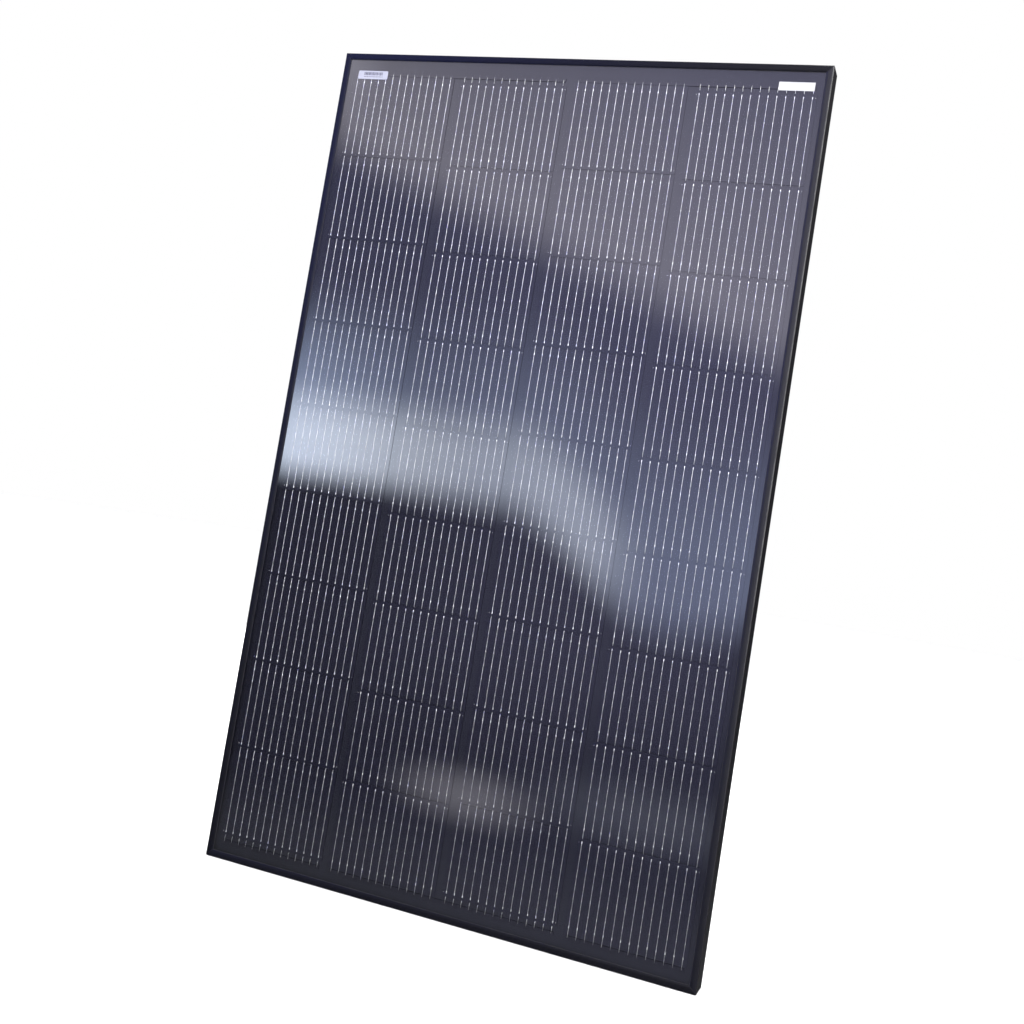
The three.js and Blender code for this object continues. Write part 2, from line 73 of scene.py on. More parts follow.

# Ribbons, pads and dots on a cell
RIBBONS = 14
RIBBON_MARGIN = 5.7 * MM
RIBBON_RADIUS = 0.21 * MM
RIBBON_SIDES = 6
RIBBON_LEAD = 1.6 * MM  # how far a ribbon starts before its first pad
RIBBON_TIP = 0.7  # width of its tip, as a share of its full width
DIVE = 1.6 * MM  # length of the bend from the front of a cell to the back of the next
DIVE_STEPS = 5
PADS = 7
PAD_START = 5.3 * MM
PAD_PITCH = 17.7 * MM
PAD_SIZE = (0.8 * MM, 1.5 * MM)
END_PAD_SIZE = (1.1 * MM, 2.6 * MM)
PAD_THICKNESS = 0.03 * MM
SOLDER_SWELL = 1.6
SOLDER_LENGTH = 1.1 * MM
# Steps along a pad, in solder lengths, and the ribbon's width at each
SOLDER_PROFILE = ((-1, 1.0), (-0.4, SOLDER_SWELL), (0.4, SOLDER_SWELL), (1, 1.0))
DOT_RADIUS = 0.35 * MM
DOT_OFFSET = 4.0 * MM
WOBBLE = 0.12 * MM

# Bus strips, measured in from the outer edges of the frame
BUS_WIDTH = 5.2 * MM
BUS_THICKNESS = 0.3 * MM
BUS_RISE = 0.32 * MM
TOP_BUS = 28.6 * MM
BOTTOM_BUS = 23.0 * MM
BUS_OVERHANG = 3.0 * MM
BUS_CORNER = 0.6 * MM

# Leads: from the slit in the backsheet to the lower end of each terminal, as (y, z) in millimetres
LEAD_WIDTH = 5.0 * MM
LEAD_THICKNESS = 0.3 * MM
LEAD_PATH = [
    (-11.0, 94.6), (-9.8, 95.4), (-8.0, 96.0), (-5.4, 97.4), (-3.0, 99.8), (-1.4, 102.4), (-0.7, 105.0),
]
LEAD_FILM = {"z": 96 * MM, "size": (78 * MM, 14 * MM), "thickness": 0.03 * MM, "radius": 1 * MM}

# Labels: width and height, and the distance of the near edges from the frame's outer edges
LABEL_THICKNESS = 0.06 * MM
LEFT_LABEL = {"size": (47.7 * MM, 12.5 * MM), "side": 22.7 * MM, "top": 23.8 * MM, "radius": 1.6 * MM}
RIGHT_LABEL = {"size": (46.6 * MM, 11.5 * MM), "side": 20.8 * MM, "top": 22.8 * MM, "radius": 0.3 * MM}
LABEL_GAP = 0.012 * MM  # between the glass and the label behind it
INK_THICKNESS = 0.01 * MM
PRINT_SPAN = (-0.30, 0.32)  # where the rows of bars start and end, as shares of the label's width
PRINT_GAP = (0.4, 0.9)  # least and most space between bars, in millimetres
# Each row's height above the middle, the bars' height, and their least and most width, in millimetres
PRINT_ROWS = [(1.9, 4.6, 0.5, 1.5), (-2.6, 0.9, 0.6, 2.2)]

# What the panel mirrors comes from a clear coat on the cells, the backsheet and the bus strips. The
# glass over them adds little.
GLASS_IOR = 1.05
COAT_IOR = 2.0
COAT_ROUGHNESS = 0.025

# Camera: place in metres, angles in degrees, lens in millimetres
CAMERA_AT = Vector((0.5823, -1.5932, 0.5296))
CAMERA_AZIMUTH = 20.24
CAMERA_PITCH = 3.76
CAMERA_ROLL = 9.30
CAMERA_LENS = 43.95
CAMERA_SHIFT = -0.0703

# Softboxes: place, width and height, power and colour. All face the middle of the panel.
SOFTBOX_TARGET = (0, 0, 0.6)
SOFTBOXES = {
    "overhead_softbox": ((0.0, -0.4, 2.9), (2.6, 2.0), 60, (1.0, 0.99, 0.98)),
    "right_softbox": ((2.4, 0.1, 1.3), (1.2, 2.0), 45, (1.0, 0.99, 0.97)),
    "left_softbox": ((-2.4, -1.0, 1.4), (1.2, 2.0), 14, (0.80, 0.86, 1.0)),
    "rear_softbox": ((-1.35, 2.5, 1.2), (1.7, 2.3), 75, (1.0, 0.99, 0.98)),
}
FLOOR_RADIUS = 12.0
FLOOR_STEPS = 48
FLOOR_DROP = 0.5 * MM

# The room that the panel mirrors. Places in it are shares of the panel's width and height, from its
# upper left corner, at which the front face mirrors them towards the camera.
CEILING_EDGE = 0.115  # its lower edge, at the left side
CEILING_SLOPE = 0.22
CEILING_DEPTH = 0.3
CEILING_LEVELS = (1.2, 0.34)  # at its lower edge and at its full depth
CEILING_TINT = (1.0, 0.93, 0.98)
SILL_HEIGHT = 0.528  # the window's sill at the left side
SILL_SWEEP = 0.106  # how far it sinks towards the right
SILL_RISE = 0.014  # how far it rises again at the right side
CORE_TINT = (1.0, 1.05, 1.10)
HALO_TINT = (1.0, 1.22, 1.75)
SKY_LEVEL = 0.23
SKY_TINT = (1.0, 1.0, 1.85)
BELOW_TINT = (0.95, 0.93, 1.6)
FLOOR_EDGE_LEVEL = 0.10
# Oval glows: centre, half sizes, level and tint
ROOM_LAMPS = [
    ((-0.02, 0.0), (0.14, 0.10), 0.8, (1.0, 0.96, 1.1)),
    ((0.52, 0.859), (0.20, 0.045), 0.95, (1.0, 0.95, 1.05)),
    ((0.87, 0.837), (0.32, 0.055), 0.36, (0.85, 0.9, 1.1)),
    ((-0.90, 0.10), (0.78, 0.60), 18.0, (0.02, 0.04, 0.85)),
    ((0.10, -0.80), (0.80, 0.74), 9.0, (0.04, 0.06, 0.9)),
    ((1.60, 0.26), (0.55, 0.60), 22.0, (1.0, 0.98, 0.98)),
]

random = np.random.default_rng(11)


# ---------------------------------------------------------------- node helpers
class Tree:
    """Adds nodes to a material's or the world's node tree."""

    def __init__(self, tree):
        self.tree = tree
        tree.nodes.clear()

    def add(self, kind, inputs=None, **settings):
        node = self.tree.nodes.new("ShaderNode" + kind)
        for name, value in settings.items():
            setattr(node, name, value)
        for name, value in (inputs or {}).items():
            self.feed(node.inputs[name], value)
        return node

    def feed(self, socket, value):
        if isinstance(value, bpy.types.NodeSocket):
            self.tree.links.new(value, socket)
        else:
            socket.default_value = value

    def math(self, operation, a, b=0.0):
        return self.add("Math", {0: a, 1: b}, operation=operation).outputs[0]

    def smooth(self, value, start, end):
        """0 before start and 1 after end, with a soft step between."""
        inputs = {"Value": value, "From Min": start, "From Max": end}
        return self.add("MapRange", inputs, interpolation_type="SMOOTHSTEP").outputs[0]

    def scale(self, value, low, high):
        """Spreads a value of 0 to 1 from low to high."""
        return self.add("MapRange", {"Value": value, "To Min": low, "To Max": high}).outputs[0]

    def ramp(self, value, start, end, low, high):
        """Goes softly from low, at start, to high, at end."""
        return self.scale(self.smooth(value, start, end), low, high)

    def xyz(self, vector):
        parts = self.add("SeparateXYZ", {0: vector}).outputs
        return parts[0], parts[1], parts[2]

    def blend(self, factor, a, b):
        return self.add("Mix", {0: factor, 6: a, 7: b}, data_type="RGBA").outputs[2]

    def place(self, scale=(1, 1, 1)):
        """Object coordinates in metres, stretched by scale."""
        at = self.add("TexCoord").outputs["Object"]
        return self.add("VectorMath", {0: at, 1: scale}, operation="MULTIPLY").outputs[0]

    def noise(self, at, scale, detail=3.0, roughness=0.5):
        inputs = {"Vector": at, "Scale": scale, "Detail": detail, "Roughness": roughness}
        return self.add("TexNoise", inputs).outputs[0]

    def bump(self, height, strength, distance, normal=None):
        inputs = {"Height": height, "Strength": strength, "Distance": distance}
        if normal is not None:
            inputs["Normal"] = normal
        return self.add("Bump", inputs).outputs[0]


def rgb(r, g, b):
    return (r, g, b, 1.0)


def material(name):
    made = bpy.data.materials.new(name)
    made.use_nodes = True
    return made, Tree(made.node_tree)


def surface(tree, shader):
    tree.add("OutputMaterial", {"Surface": shader.outputs[0]})


# ---------------------------------------------------------------- materials
def front_edge_highlight(tree, at):
    """How strongly the frame's painted highlight shows, from 0 to 1: only along its outer front edges,
    and most on the right.
    """
    low, high = CAD_BOX
    middle = (low + high) / 2
    x, y, z = tree.xyz(at)
    from_side = tree.math("SUBTRACT", tree.math("ABSOLUTE", x), high.x)
    from_end = tree.math("ABSOLUTE", tree.math("SUBTRACT", z, middle.z))
    from_end = tree.math("SUBTRACT", from_end, high.z - middle.z)
    inward = tree.math("MAXIMUM", from_side, from_end)
    depth = tree.math("SUBTRACT", low.y, y)
    arris = tree.smooth(tree.math("ADD", inward, depth), *ARRIS)
    on_right = tree.smooth(x, HIGHLIGHT_SIDE * high.x, high.x)
    highlighted = tree.math("MULTIPLY", on_right, tree.smooth(z, *HIGHLIGHT_HEIGHT))
    return tree.math("MULTIPLY", arris, tree.scale(highlighted, *HIGHLIGHT_LEVEL))


def painted_blue_reflection(tree, at):
    """A painted blue reflection on the front lip, which grows from nothing to full towards the upper
    left corner.
    """
    low, high = CAD_BOX
    x, y, z = tree.xyz(at)
    corner = tree.math("MULTIPLY", tree.smooth(x, high.x, low.x), tree.smooth(z, BLUE_REFLECTION_START, high.z))
    deep, shallow = BLUE_REFLECTION_DEPTH
    return tree.math("MULTIPLY", corner, tree.smooth(y, low.y + deep, low.y + shallow))


def anodised_aluminium(name, sealing):
    """Black anodised extrusions: faint die lines along each rail, a fine etched grain, a painted
    highlight along the outer front edge and a painted blue reflection on the front lip. The sealing of
    the skin, an index of refraction, sets how much it shines."""
    made, tree = material(name)
    at = tree.place()
    grain = tree.noise(at, 2600, detail=2)
    clouds = tree.noise(at, 14, detail=4)
    lines = tree.noise(tree.place((900, 900, 4)), 1, detail=1)
    cross_lines = tree.noise(tree.place((4, 900, 900)), 1, detail=1)
    drawn = tree.math("MULTIPLY", tree.math("ADD", lines, cross_lines), 0.5)
    edge_highlight = tree.math("MULTIPLY", front_edge_highlight(tree, at), tree.smooth(clouds, 0.3, 0.6))
    dye_and_blue_reflection = tree.blend(clouds, rgb(0.0012, 0.0012, 0.0030), rgb(0.0022, 0.0022, 0.0042))
    # painted blue reflection on the front lip towards the upper left, over the real dye tone
    dye_and_blue_reflection = tree.blend(painted_blue_reflection(tree, at), dye_and_blue_reflection, rgb(0.0016, 0.0026, 0.0165))
    speckled = tree.blend(tree.scale(grain, 0.0, 0.30), dye_and_blue_reflection, rgb(0.008, 0.008, 0.010))
    # painted highlight colour along the outer front edges
    colour = tree.blend(edge_highlight, speckled, rgb(0.13, 0.13, 0.13))
    roughness = tree.scale(tree.math("ADD", clouds, grain), 0.32, 0.42)
    relief = tree.bump(drawn, 0.10, 0.0004)
    normal = tree.bump(grain, 0.12, 0.0002, relief)
    shader = tree.add("BsdfPrincipled", {
        "Base Color": colour, "Roughness": roughness, "Normal": normal, "IOR": sealing,
    })
    surface(tree, shader)
    return made


def solar_glass():
    """Low-iron tempered glass: clear, with a faint sheen on the faces seen from outside."""
    made, tree = material("solar_glass")
    texture = tree.noise(tree.place(), 900, detail=2)
    roughness = tree.scale(texture, 0.02, 0.05)
    mirror = tree.add("BsdfGlossy", {"Color": rgb(1, 1, 1), "Roughness": roughness})
    clear = tree.add("BsdfTransparent", {"Color": rgb(0.97, 0.98, 0.975)})
    fresnel = tree.add("Fresnel", {"IOR": GLASS_IOR}).outputs[0]
    outside = tree.math("SUBTRACT", 1.0, tree.add("NewGeometry").outputs["Backfacing"])
    share = tree.math("MULTIPLY", fresnel, outside)
    surface(tree, tree.add("MixShader", {0: share, 1: clear.outputs[0], 2: mirror.outputs[0]}))
    return made


def encapsulant():
    """Cross-linked polymer film: clear, and very slightly cloudy."""
    made, tree = material("encapsulant")
    clouds = tree.noise(tree.place(), 12, detail=4)
    tint = tree.blend(clouds, rgb(0.970, 0.972, 0.975), rgb(0.998, 0.998, 0.998))
    surface(tree, tree.add("BsdfTransparent", {"Color": tint}))
    return made


def front_faces(tree):
    """1 on what faces the front, 0 on sides and backs."""
    across_sheet = tree.xyz(tree.add("TexCoord").outputs["Normal"])[1]
    return tree.smooth(across_sheet, 0.0, -0.5)


def silicon_cell():
    """Monocrystalline silicon: navy black, with hair-fine screen-printed fingers across each cell."""
    made, tree = material("silicon_cell")
    at = tree.place()
    pattern = {"Vector": at, "Scale": 110.0, "Distortion": 0.0}
    fingers = tree.add("TexWave", pattern, wave_type="BANDS", bands_direction="Z").outputs[1]
    line = tree.smooth(fingers, 0.93, 0.99)
    clouds = tree.noise(at, 5, detail=4)
    crystal = tree.noise(at, 1800, detail=2)
    body = tree.blend(clouds, rgb(0.0085, 0.0085, 0.0165), rgb(0.0110, 0.0110, 0.0205))
    colour = tree.blend(tree.math("MULTIPLY", line, 0.12), body, rgb(0.12, 0.12, 0.13))
    shader = tree.add("BsdfPrincipled", {
        "Base Color": colour, "Roughness": tree.scale(crystal, 0.35, 0.5), "IOR": 1.06,
        "Normal": tree.bump(crystal, 0.1, 0.0001),
        "Coat Weight": front_faces(tree), "Coat Roughness": COAT_ROUGHNESS, "Coat IOR": COAT_IOR,
    })
    surface(tree, shader)
    return made


def black_backsheet():
    """Black polymer sheet with a fine pebbled skin and faint rolling streaks: satin at the back, and as
    glossy as the film over it in front."""
    made, tree = material("black_backsheet")
    pebbles = tree.noise(tree.place(), 700, detail=3, roughness=0.6)
    streaks = tree.noise(tree.place((60, 60, 2)), 1, detail=2)
    body = tree.blend(streaks, rgb(0.0098, 0.0101, 0.0170), rgb(0.0130, 0.0133, 0.0210))
    colour = tree.blend(tree.scale(pebbles, 0.0, 0.4), body, rgb(0.022, 0.022, 0.028))
    relief = tree.bump(pebbles, 0.3, 0.0003)
    front = tree.add("BsdfPrincipled", {
        "Base Color": colour, "Roughness": 0.55, "IOR": 1.06, "Normal": relief,
        "Coat Weight": 1.0, "Coat Roughness": COAT_ROUGHNESS, "Coat IOR": COAT_IOR,
    })
    back = tree.add("BsdfPrincipled", {
        "Base Color": colour, "Roughness": tree.scale(pebbles, 0.32, 0.48), "IOR": 1.42,
        "Normal": relief,
    })
    inputs = {0: front_faces(tree), 1: back.outputs[0], 2: front.outputs[0]}
    surface(tree, tree.add("MixShader", inputs))
    return made


def moulded_plastic():
    """Black spark-eroded housing plastic with a slightly chalky grain."""
    made, tree = material("moulded_plastic")
    at = tree.place()
    grain = tree.add("TexVoronoi", {"Vector": at, "Scale": 1900.0}).outputs["Distance"]
    clouds = tree.noise(at, 40, detail=4)
    body = tree.blend(clouds, rgb(0.012, 0.012, 0.013), rgb(0.022, 0.022, 0.023))
    colour = tree.blend(tree.scale(grain, 0.0, 0.3), body, rgb(0.04, 0.04, 0.04))
    shader = tree.add("BsdfPrincipled", {
        "Base Color": colour, "Roughness": tree.scale(clouds, 0.42, 0.6), "IOR": 1.5,
        "Normal": tree.bump(grain, 0.35, 0.00015),
    })
    surface(tree, shader)
    return made


def silicone_sealant():
    """Black silicone bead: soft, slightly lumpy, matte."""
    made, tree = material("silicone_sealant")
    lumps = tree.noise(tree.place(), 180, detail=3)
    colour = tree.blend(lumps, rgb(0.006, 0.006, 0.007), rgb(0.014, 0.014, 0.015))
    shader = tree.add("BsdfPrincipled", {
        "Base Color": colour, "Roughness": tree.scale(lumps, 0.5, 0.75), "IOR": 1.42,
        "Normal": tree.bump(lumps, 0.5, 0.0006),
    })
    surface(tree, shader)
    return made


def gasket_rubber():
    """Grey-black foam rubber with open pores."""
    made, tree = material("gasket_rubber")
    at = tree.place()
    pores = tree.add("TexVoronoi", {"Vector": at, "Scale": 1500.0}).outputs["Distance"]
    bloom = tree.noise(at, 70, detail=3)
    colour = tree.blend(bloom, rgb(0.020, 0.020, 0.021), rgb(0.034, 0.034, 0.036))
    shader = tree.add("BsdfPrincipled", {
        "Base Color": colour, "Roughness": tree.scale(pores, 0.7, 0.95), "IOR": 1.45,
        "Normal": tree.bump(pores, 0.6, 0.0003),
    })
    surface(tree, shader)
    return made


def bare_metal(name, dark, light, grain_scale, low, high):
    """Bare or plated metal with a mottled skin, which is rougher where it is light."""
    made, tree = material(name)
    at = tree.place()
    mottle = tree.noise(at, grain_scale, detail=4)
    fine = tree.noise(at, grain_scale * 9, detail=2)
    colour = tree.blend(mottle, dark, light)
    shader = tree.add("BsdfPrincipled", {
        "Base Color": colour, "Metallic": 1.0, "Roughness": tree.scale(mottle, low, high),
        "Normal": tree.bump(fine, 0.2, 0.0001),
    })
    surface(tree, shader)
    return made


def epoxy_body():
    """Moulded black epoxy with a faint grey silica fleck."""
    made, tree = material("epoxy_body")
    fleck = tree.noise(tree.place(), 3200, detail=2)
    silica = tree.smooth(fleck, 0.55, 0.75)
    colour = tree.blend(silica, rgb(0.016, 0.016, 0.017), rgb(0.06, 0.06, 0.06))
    shader = tree.add("BsdfPrincipled", {
        "Base Color": colour, "Roughness": tree.scale(fleck, 0.4, 0.6), "IOR": 1.5,
        "Normal": tree.bump(fleck, 0.2, 0.0001),
    })
    surface(tree, shader)
    return made


def solder_ribbon():
    """Tinned round wire: silvery, with brighter and duller stretches of solder along it; the brightest
    beads are partly painted glints.
    """
    made, tree = material("solder_ribbon")
    beads = tree.noise(tree.place((30, 30, 420)), 1, detail=3, roughness=0.7)
    bright_solder_and_glints = tree.smooth(beads, 0.35, 0.65)
    # real solder stretches, and painted glints in the brightest beads
    colour = tree.blend(bright_solder_and_glints, rgb(0.42, 0.42, 0.42), rgb(1.0, 0.98, 0.96))
    shader = tree.add("BsdfPrincipled", {
        "Base Color": colour, "Metallic": 0.75, "Roughness": tree.scale(beads, 0.45, 0.24),
    })
    surface(tree, shader)
    return made


def silver_print():
    """Fired silver paste: pale, dry and porous."""
    made, tree = material("silver_print")
    pores = tree.noise(tree.place(), 4000, detail=2)
    colour = tree.blend(pores, rgb(0.62, 0.62, 0.62), rgb(0.85, 0.84, 0.83))
    shader = tree.add("BsdfPrincipled", {
        "Base Color": colour, "Metallic": 0.4, "Roughness": tree.scale(pores, 0.4, 0.6),
    })
    surface(tree, shader)
    return made


def black_coated_strip():
    """Flat copper strip, coated black and a little uneven, under the same glossy film as the cells."""
    made, tree = material("black_coated_strip")
    at = tree.place((40, 40, 900))
    uneven = tree.noise(at, 1, detail=3)
    pale = tree.smooth(uneven, 0.5, 0.8)
    colour = tree.blend(pale, rgb(0.009, 0.009, 0.015), rgb(0.013, 0.013, 0.020))
    shader = tree.add("BsdfPrincipled", {
        "Base Color": colour, "Roughness": tree.scale(uneven, 0.4, 0.6), "IOR": 1.06,
        "Coat Weight": front_faces(tree), "Coat Roughness": COAT_ROUGHNESS, "Coat IOR": COAT_IOR,
    })
    surface(tree, shader)
    return made


def label_film(name, paper, shadow):
    """Pale label film with faint print-head streaks."""
    made, tree = material(name)
    streaks = tree.noise(tree.place((8, 8, 1400)), 1, detail=2)
    specks = tree.noise(tree.place(), 2500, detail=1)
    dulled = tree.math("MULTIPLY", streaks, tree.scale(specks, 0.5, 1.0))
    colour = tree.blend(dulled, paper, shadow)
    shader = tree.add("BsdfPrincipled", {
        "Base Color": colour, "Roughness": tree.scale(specks, 0.35, 0.5), "IOR": 1.2,
    })
    surface(tree, shader)
    return made


def label_ink():
    """Thermal print: uneven dark violet-grey."""
    made, tree = material("label_ink")
    patchy = tree.noise(tree.place(), 1600, detail=2)
    colour = tree.blend(patchy, rgb(0.04, 0.04, 0.07), rgb(0.10, 0.10, 0.15))
    surface(tree, tree.add("BsdfPrincipled", {"Base Color": colour, "Roughness": 0.6}))
    return made


# ---------------------------------------------------------------- CAD parts: finish and soft edges
def soften(node, width):
    """Joins the imported facets, rounds the sharp edges and evens out the shading."""
    ob = NODES[node]
    for face in ob.data.polygons:
        face.use_smooth = True
    ob.modifiers.new("Weld", "WELD").merge_threshold = 0.002 * MM
    bevel = ob.modifiers.new("Bevel", "BEVEL")
    bevel.width = width
    bevel.segments = 2
    bevel.limit_method = "ANGLE"
    bevel.angle_limit = math.radians(SHARP_ANGLE)
    bevel.use_clamp_overlap = True
    ob.modifiers.new("Normals", "WEIGHTED_NORMAL").weight = 80


def finish_node(node, made, edge=None):
    """Gives a CAD part its material and soft edges. Thin sheets stay flat, with no edge width."""
    ob = NODES[node]
    ob.data.materials.clear()
    ob.data.materials.append(made)
    if edge:
        soften(node, edge)
    else:
        for face in ob.data.polygons:
            face.use_smooth = False


def clear_part(node, made, edge=None):
    """A clear part casts no shadow and stays out of diffuse and glossy light."""
    finish_node(node, made, edge)
    ob = NODES[node]
    ob.visible_shadow = False
    ob.visible_diffuse = False
    ob.visible_glossy = False


def finish_cad_parts():
    """Every CAD part's material and edges. The frame's inner walls stay out of what the face mirrors."""
    satin = anodised_aluminium("anodised_aluminium", SATIN_SEALING)
    lit_side = anodised_aluminium("anodised_aluminium_right_lit", LIT_SIDE_SEALING)
    dull, pale = rgb(0.42, 0.42, 0.43), rgb(0.62, 0.62, 0.63)
    cast = bare_metal("cast_aluminium", dull, pale, 160, 0.35, 0.55)
    film = encapsulant()
    cell = silicon_cell()
    plastic = moulded_plastic()
    sealant = silicone_sealant()
    tin, shine = rgb(0.55, 0.54, 0.52), rgb(0.80, 0.79, 0.76)
    tinned = bare_metal("tinned_copper", tin, shine, 300, 0.22, 0.45)
    epoxy = epoxy_body()
    for side in ("bottom", "top", "left", "right"):
        # the right rail takes the shinier lit copy, which stands in for the light falling on that side
        finish_node("frame_rail_" + side, lit_side if side == "right" else satin, 0.3 * MM)
        NODES["frame_rail_" + side].visible_glossy = False
    for corner in ("bottom_left", "bottom_right", "top_right", "top_left"):
        finish_node("corner_key_" + corner, cast, 0.3 * MM)
    for row in ROWS:
        for column in COLUMNS:
            finish_node(f"cell_r{row}_c{column}", cell)
    finish_node("edge_seal", sealant, 0.2 * MM)
    NODES["edge_seal"].visible_glossy = False
    clear_part("glass", solar_glass(), 0.3 * MM)
    clear_part("front_encapsulant", film)
    clear_part("rear_encapsulant", film)
    finish_node("backsheet", black_backsheet())
    finish_node("box_adhesive", sealant, 0.2 * MM)
    finish_node("junction_box_base", plastic, 0.25 * MM)
    finish_node("junction_box_lid", plastic, 0.3 * MM)
    finish_node("lid_gasket", gasket_rubber(), 0.2 * MM)
    for side in ("left", "right"):
        finish_node("gland_nut_" + side, plastic, 0.3 * MM)
        finish_node("bypass_diode_" + side, epoxy, 0.15 * MM)
    for place in ("negative", "middle", "positive"):
        finish_node("terminal_" + place, tinned, 0.12 * MM)


# ---------------------------------------------------------------- mesh helpers
def piece(name, points, faces, made, smooth=False):
    """A new object on the panel, with one material and the slot that it takes its finish from."""
    mesh = bpy.data.meshes.new(name)
    mesh.from_pydata([tuple(p) for p in points], [], [tuple(f) for f in faces])
    mesh.validate()
    if smooth:
        mesh.shade_smooth()
    mesh.materials.append(made)
    ob = bpy.data.objects.new(name, mesh)
    bpy.context.scene.collection.objects.link(ob)
    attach(ob, PANEL)
    return ob


def gather(parts):
    """Joins (points, faces) pairs into one."""
    points, faces, count = [], [], 0
    for some_points, some_faces in parts:
        points.append(np.asarray(some_points))
        faces.extend([tuple(i + count for i in face) for face in some_faces])
        count += len(some_points)
    return np.concatenate(points), faces


def slab(outline, front, back):
    """A flat piece with an outline of (x, z) points, counter-clockwise from the front."""
    count = len(outline)
    points = [(x, front, z) for x, z in outline] + [(x, back, z) for x, z in outline]
    ring = range(count)
    faces = [tuple(ring), tuple(reversed([i + count for i in ring]))]
    faces += [(i, i + count, (i + 1) % count + count, (i + 1) % count) for i in ring]
    return points, faces


def rectangle(x, z, width, height):
    a, b = width / 2, height / 2
    return [(x - a, z - b), (x + a, z - b), (x + a, z + b), (x - a, z + b)]


def rounded(x, z, width, height, radius, steps=5):
    """A rectangle with round corners, each of so many steps."""
    outline = []
    for quarter, (sx, sz) in enumerate([(1, -1), (1, 1), (-1, 1), (-1, -1)]):
        cx, cz = x + sx * (width / 2 - radius), z + sz * (height / 2 - radius)
        for k in range(steps + 1):
            turn = math.pi / 2 * (quarter - 1 + k / steps)
            outline.append((cx + radius * math.cos(turn), cz + radius * math.sin(turn)))
    return outline


def wire(x, path, widths, radius):
    """A round wire in the plane x through (y, z) points, each ring widened along X by its width."""
    path = np.asarray(path)
    along = np.gradient(path, axis=0)
    along /= np.linalg.norm(along, axis=1)[:, None]
    normal = np.stack([-along[:, 1], along[:, 0]], 1)
    turns = np.arange(RIBBON_SIDES) / RIBBON_SIDES * 2 * math.pi
    points = []
    for (y, z), (ny, nz), width in zip(path, normal, widths):
        for turn in turns:
            across = radius * width * math.cos(turn)
            out = radius * math.sin(turn)
            points.append((x + across, y + ny * out, z + nz * out))
    faces = []
    for ring in range(len(path) - 1):
        for k in range(RIBBON_SIDES):
            a = ring * RIBBON_SIDES + k
            b = ring * RIBBON_SIDES + (k + 1) % RIBBON_SIDES
            faces.append((a, b, b + RIBBON_SIDES, a + RIBBON_SIDES))
    last = (len(path) - 1) * RIBBON_SIDES
    faces.append(tuple(reversed(range(RIBBON_SIDES))))
    faces.append(tuple(range(last, last + RIBBON_SIDES)))
    return points, faces


# ---------------------------------------------------------------- strings of cells
def cell_box(row, column):
    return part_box(f"cell_r{row}_c{column}")


def cell_x(column):
    """The ribbons' places across a column."""
    low, high = cell_box(1, column)
    return np.linspace(low.x + RIBBON_MARGIN, high.x - RIBBON_MARGIN, RIBBONS)


def run_rows(column):
    """The rows of a string in the order in which its ribbons run: upwards or downwards."""
    return list(reversed(ROWS)) if RISING[column] > 0 else list(ROWS)


def run_span(row, column):
    """The z where a ribbon's cell starts and ends, in the direction of its run."""
    low, high = cell_box(row, column)
    return (low.z, high.z) if RISING[column] > 0 else (high.z, low.z)


def pad_places(row, column):
    start = run_span(row, column)[0]
    way = RISING[column]
    return [start + way * (PAD_START + k * PAD_PITCH) for k in range(PADS)]


def front_run(row, column):
    """Path points and widths of a ribbon over a cell's front, swollen by solder at each pad."""
    way = RISING[column]
    y = cell_box(row, column)[0].y - RIBBON_RADIUS
    pads = pad_places(row, column)
    zs, widths = [pads[0] - way * RIBBON_LEAD], [RIBBON_TIP]
    for at in pads:
        for step, width in SOLDER_PROFILE:
            zs.append(at + way * step * SOLDER_LENGTH)
            widths.append(width)
    zs.append(run_span(row, column)[1])
    widths.append(1.0)
    return [(y, z) for z in zs], widths


def rear_run(row, column):
    """The ribbon behind a cell, from its near edge to short of its far edge."""
    start, end = run_span(row, column)
    y = cell_box(row, column)[1].y + RIBBON_RADIUS
    return [(y, start), (y, end - RISING[column] * PAD_START)]


def dive(start, end):
    """A smooth S-bend from the front of one cell to the back of the next."""
    bend = []
    for k in range(1, DIVE_STEPS):
        t = k / DIVE_STEPS
        ease = t * t * (3 - 2 * t)
        bend.append((start[0] + (end[0] - start[0]) * ease, start[1] + (end[1] - start[1]) * t))
    return bend


def bus_z(column, at_end):
    """The bus strip that a string's ribbons end at, or start from."""
    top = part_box("frame_rail_top")[1].z
    upper = (RISING[column] > 0) == at_end
    return top - TOP_BUS if upper else BOTTOM_BUS


def string_paths(column):
    """Each ribbon of a string as (path, widths), without its place across."""
    rows = run_rows(column)
    rear = rear_run(rows[0], column)
    front = cell_box(rows[0], column)[0].y - RIBBON_RADIUS
    start = [(front, bus_z(column, False)), (front, rear[0][1] - RISING[column] * DIVE)]
    first = start + dive(start[-1], rear[0]) + rear
    paths = [(first, [1.0] * len(first))]
    for row, following in zip(rows, rows[1:] + [None]):
        path, widths = front_run(row, column)
        if following:
            rear = rear_run(following, column)
            path = path + dive(path[-1], rear[0]) + rear
        else:
            path = path + [(path[-1][0], bus_z(column, True))]
        paths.append((path, widths + [1.0] * (len(path) - len(widths))))
    return paths


def make_ribbons(column, made):
    parts = []
    for x in cell_x(column):
        for path, widths in string_paths(column):
            parts.append(wire(x + random.uniform(-WOBBLE, WOBBLE), path, widths, RIBBON_RADIUS))
    points, faces = gather(parts)
    piece(f"ribbons_string_{column}", points, faces, made, smooth=True)


def disc(x, z, radius, steps=8):
    turns = [2 * math.pi * k / steps for k in range(steps)]
    return [(x + radius * math.cos(t), z + radius * math.sin(t)) for t in turns]


